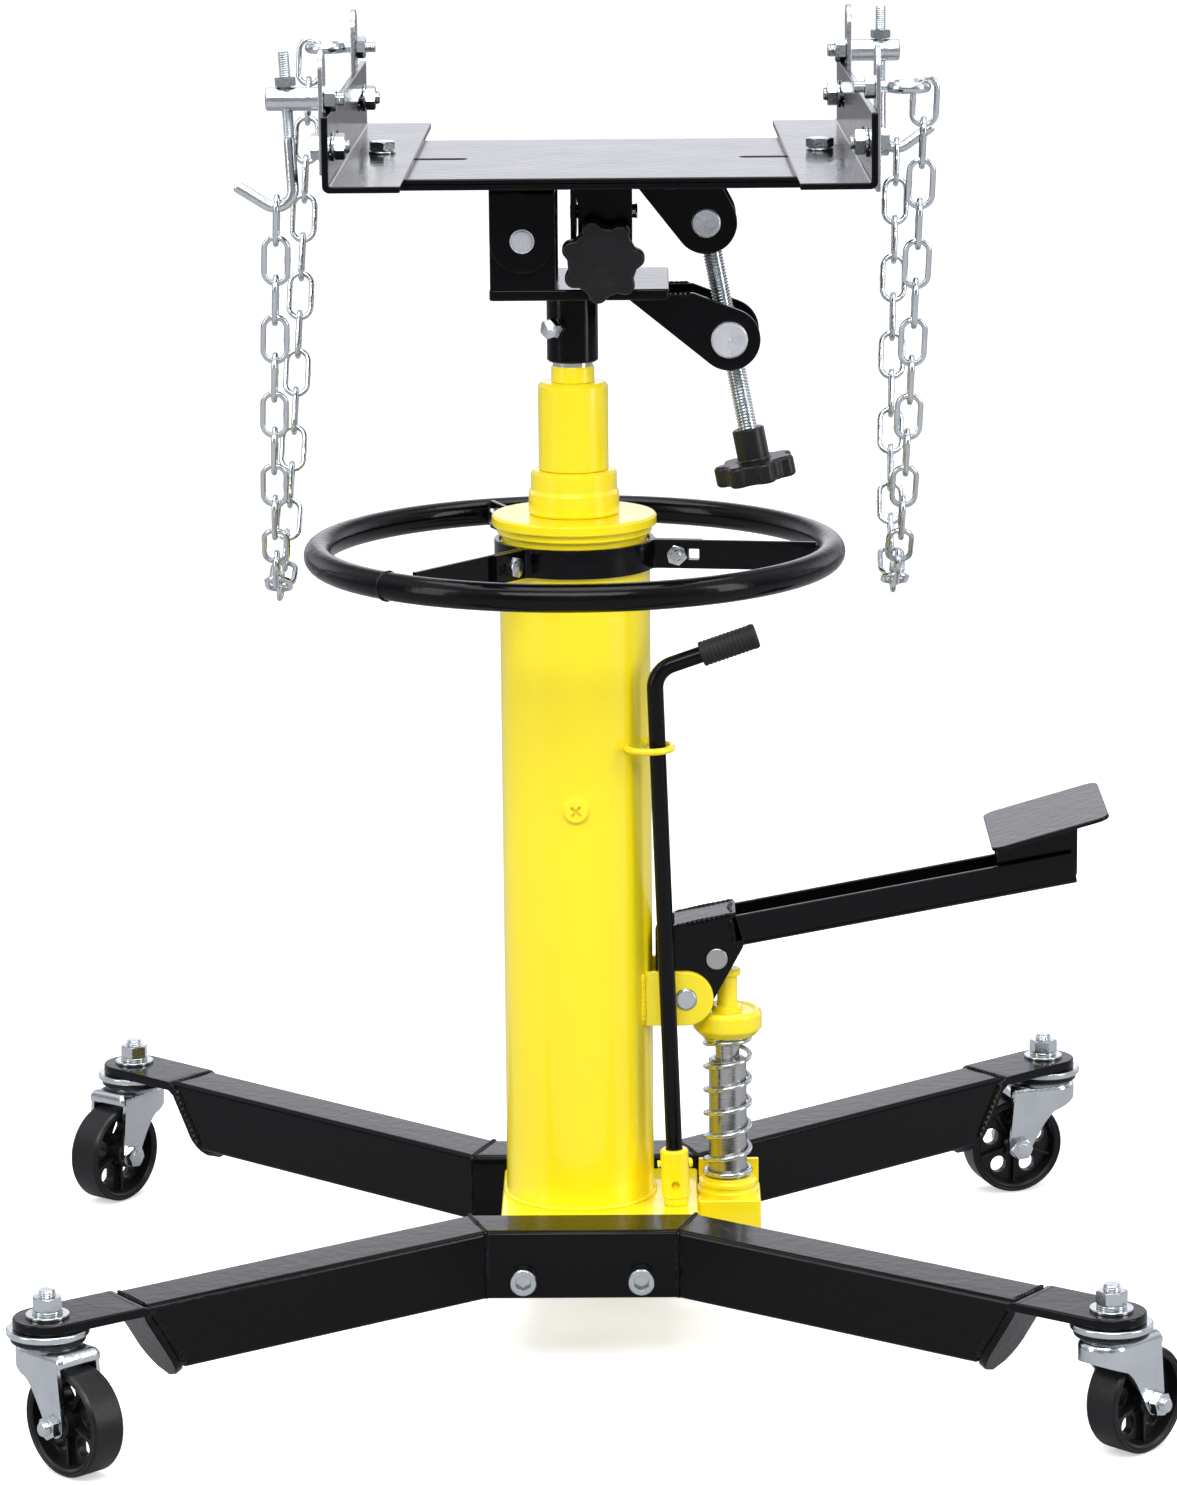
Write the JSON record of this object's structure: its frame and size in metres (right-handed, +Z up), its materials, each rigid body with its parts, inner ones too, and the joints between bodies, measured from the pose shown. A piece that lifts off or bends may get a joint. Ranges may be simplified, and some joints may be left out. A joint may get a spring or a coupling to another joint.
{
  "type": "transmission jack",
  "caption": "Wheeled telescopic hydraulic jack with a foot pedal, a ring handle and a tilting saddle table with hooked chains for raising a gearbox.",
  "frame": {"origin": "on the floor, under the column's axis", "axes": "+X to the foot pedal's side, +Y away from the side with the round knob and release rod, +Z up along the column and rams"},
  "size_m": [0.8207, 0.7254, 0.946],
  "materials": {
    "yellow_paint": "high-gloss bright yellow enamel",
    "black_paint": "gloss black powder coat",
    "zinc_bright": "bright blue-white zinc plate",
    "steel_ground": "machined plain steel, lightly oiled",
    "chrome_rod": "hard-chromed and polished",
    "plastic_black": "moulded black plastic, semi-gloss",
    "wheel_plastic": "moulded black nylon, satin",
    "grip_rubber": "moulded black rubber grip"
  },
  "bodies": {
    "base": {"base_block": "yellow_paint", "pump_body": "yellow_paint", "front_leg_frame": "black_paint", "rear_leg_frame": "black_paint", "leg_bolts": "zinc_bright", "caster_kingpins": "zinc_bright", "column_tube": "yellow_paint", "cylinder_liner": "steel_ground", "top_cap": "yellow_paint", "gland_nut": "yellow_paint", "filler_plug": "yellow_paint", "rod_guide_loop": "yellow_paint", "lever_lugs": "yellow_paint", "lever_pivot_pin": "zinc_bright", "pump_barrel": "steel_ground", "pump_spring": "zinc_bright", "handle_ring": "black_paint", "ring_straps": "black_paint", "strap_bolts": "zinc_bright"},
    "first_stage": {"ram_tube": "steel_ground", "ram_collar": "yellow_paint", "ram_wiper_neck": "yellow_paint"},
    "second_stage": {"inner_ram": "chrome_rod"},
    "saddle_head": {"saddle_base": "black_paint", "swivel_bolt": "zinc_bright", "side_tilt_pin": "zinc_bright"},
    "lower_pivot": {"lower_trunnion": "zinc_bright"},
    "cradle": {"cradle": "black_paint"},
    "upper_pivot": {"upper_trunnion": "zinc_bright"},
    "screw": {"tilt_screw": "zinc_bright", "tilt_knob": "plastic_black"},
    "lock": {"lock_screw": "zinc_bright", "star_knob": "plastic_black"},
    "table": {"saddle_table": "black_paint", "fore_aft_pin": "zinc_bright"},
    "left_rail": {"bracket_left": "black_paint", "hook_hardware_left": "zinc_bright", "hook_left": "zinc_bright", "eye_bolt_left": "zinc_bright"},
    "right_rail": {"bracket_right": "black_paint", "hook_hardware_right": "zinc_bright", "hook_right": "zinc_bright", "eye_bolt_right": "zinc_bright"},
    "left_chain": {"chain_left": "zinc_bright"},
    "right_chain": {"chain_right": "zinc_bright"},
    "lever": {"lever_arm": "black_paint"},
    "roller": {"lever_roller": "steel_ground"},
    "plunger": {"pump_plunger": "steel_ground", "spring_cap": "yellow_paint"},
    "release": {"release_rod": "black_paint", "rod_grip": "grip_rubber", "release_coupling": "yellow_paint"},
    "fork_front_left": {"caster_fork_front_left": "zinc_bright"},
    "wheel_front_left": {"wheel_front_left": "wheel_plastic"},
    "fork_front_right": {"caster_fork_front_right": "zinc_bright"},
    "wheel_front_right": {"wheel_front_right": "wheel_plastic"},
    "fork_rear_left": {"caster_fork_rear_left": "zinc_bright"},
    "wheel_rear_left": {"wheel_rear_left": "wheel_plastic"},
    "fork_rear_right": {"caster_fork_rear_right": "zinc_bright"},
    "wheel_rear_right": {"wheel_rear_right": "wheel_plastic"}
  },
  "joints": [
    {"name": "ram_stage_1", "type": "slide", "parent": "base", "child": "first_stage", "axis": [0, 0, 1], "range_m": [0, 0.43]},
    {"name": "ram_stage_2", "type": "slide", "parent": "first_stage", "child": "second_stage", "axis": [0, 0, 1], "range_m": [0, 0.43]},
    {"name": "saddle_swivel", "type": "hinge", "parent": "second_stage", "child": "saddle_head", "pos_m": [0, 0, 0.735], "axis": [0, 0, 1], "continuous": true},
    {"name": "side_tilt", "type": "hinge", "parent": "saddle_head", "child": "cradle", "pos_m": [-0.0335, 0, 0.802], "axis": [0, 1, 0], "range_deg": [-8, 5]},
    {"name": "fore_aft_tilt", "type": "hinge", "parent": "cradle", "child": "table", "pos_m": [0, 0, 0.815], "axis": [1, 0, 0], "range_deg": [-4, 4]},
    {"name": "upper_pivot_turn", "type": "hinge", "parent": "cradle", "child": "upper_pivot", "pos_m": [0.0949, 0, 0.8094], "axis": [0, 1, 0], "range_deg": [-12, 12]},
    {"name": "lower_pivot_turn", "type": "hinge", "parent": "saddle_head", "child": "lower_pivot", "pos_m": [0.1111, 0, 0.7267], "axis": [0, 1, 0], "range_deg": [-4, 4]},
    {"name": "tilt_screw_spin", "type": "hinge", "parent": "upper_pivot", "child": "screw", "pos_m": [0.0949, 0, 0.8094], "axis": [-0.1922, 0, 0.9813], "continuous": true},
    {"name": "lock_screw_spin", "type": "hinge", "parent": "cradle", "child": "lock", "pos_m": [0.0224, 0, 0.789], "axis": [0, 1, 0], "continuous": true},
    {"name": "left_rail_slide", "type": "slide", "parent": "table", "child": "left_rail", "axis": [-0.9999, 0.0105, 0], "range_m": [-0.005, 0.01]},
    {"name": "right_rail_slide", "type": "slide", "parent": "table", "child": "right_rail", "axis": [0.9998, 0.0192, 0], "range_m": [-0.02, 0.01]},
    {"name": "left_chain_swing", "type": "hinge", "parent": "left_rail", "child": "left_chain", "pos_m": [-0.19656, -0.17434, 0.84], "axis": [0.0095, 0.9766, 0.2149], "range_deg": [-9, 9]},
    {"name": "right_chain_swing", "type": "hinge", "parent": "right_rail", "child": "right_chain", "pos_m": [0.23783, 0.17622, 0.84], "axis": [-0.009, 0.9766, -0.2149], "range_deg": [-9, 9]},
    {"name": "pump_lever", "type": "hinge", "parent": "base", "child": "lever", "pos_m": [0.0779, 0, 0.246], "axis": [0, 1, 0], "range_deg": [0, 30], "stiffness_Nm_per_rad": 1.2, "springref_deg": -51.57},
    {"name": "lever_roller_spin", "type": "hinge", "parent": "lever", "child": "roller", "pos_m": [0.1004, 0, 0.2745], "axis": [0, 1, 0], "continuous": true},
    {"name": "pump_stroke", "type": "slide", "parent": "base", "child": "plunger", "axis": [0, 0, 1], "range_m": [-0.02, 0], "deforming": ["pump_spring"]},
    {"name": "release_valve", "type": "hinge", "parent": "base", "child": "release", "pos_m": [0.07, -0.038, 0.098], "axis": [-0.034, 0, 0.9994], "range_deg": [-70, 50]},
    {"name": "caster_swivel_front_left", "type": "hinge", "parent": "base", "child": "fork_front_left", "pos_m": [-0.3575, -0.322, 0.08], "axis": [0, 0, 1], "continuous": true},
    {"name": "caster_swivel_front_right", "type": "hinge", "parent": "base", "child": "fork_front_right", "pos_m": [0.3625, -0.322, 0.08], "axis": [0, 0, 1], "continuous": true},
    {"name": "caster_swivel_rear_left", "type": "hinge", "parent": "base", "child": "fork_rear_left", "pos_m": [-0.3575, 0.322, 0.08], "axis": [0, 0, 1], "continuous": true},
    {"name": "caster_swivel_rear_right", "type": "hinge", "parent": "base", "child": "fork_rear_right", "pos_m": [0.3625, 0.322, 0.08], "axis": [0, 0, 1], "continuous": true},
    {"name": "wheel_spin_front_left", "type": "hinge", "parent": "fork_front_left", "child": "wheel_front_left", "pos_m": [-0.33911, -0.34038, 0.0375], "axis": [0.7071, 0.7071, 0], "continuous": true},
    {"name": "wheel_spin_front_right", "type": "hinge", "parent": "fork_front_right", "child": "wheel_front_right", "pos_m": [0.38088, -0.30362, 0.0375], "axis": [-0.7071, 0.7071, 0], "continuous": true},
    {"name": "wheel_spin_rear_left", "type": "hinge", "parent": "fork_rear_left", "child": "wheel_rear_left", "pos_m": [-0.37315, 0.30123, 0.0375], "axis": [0.7986, -0.6018, 0], "continuous": true},
    {"name": "wheel_spin_rear_right", "type": "hinge", "parent": "fork_rear_right", "child": "wheel_rear_right", "pos_m": [0.33777, 0.31397, 0.0375], "axis": [0.309, -0.9511, 0], "continuous": true}
  ],
  "couplings": [
    {"joint": "upper_pivot_turn", "follows": "side_tilt", "ratio": -1.2},
    {"joint": "lower_pivot_turn", "follows": "side_tilt", "ratio": -0.2},
    {"joint": "pump_stroke", "follows": "pump_lever", "m_per_rad": -0.0292},
    {"joint": "left_chain_swing", "follows": "side_tilt", "ratio": -0.9},
    {"joint": "right_chain_swing", "follows": "side_tilt", "ratio": -0.9}
  ]
}
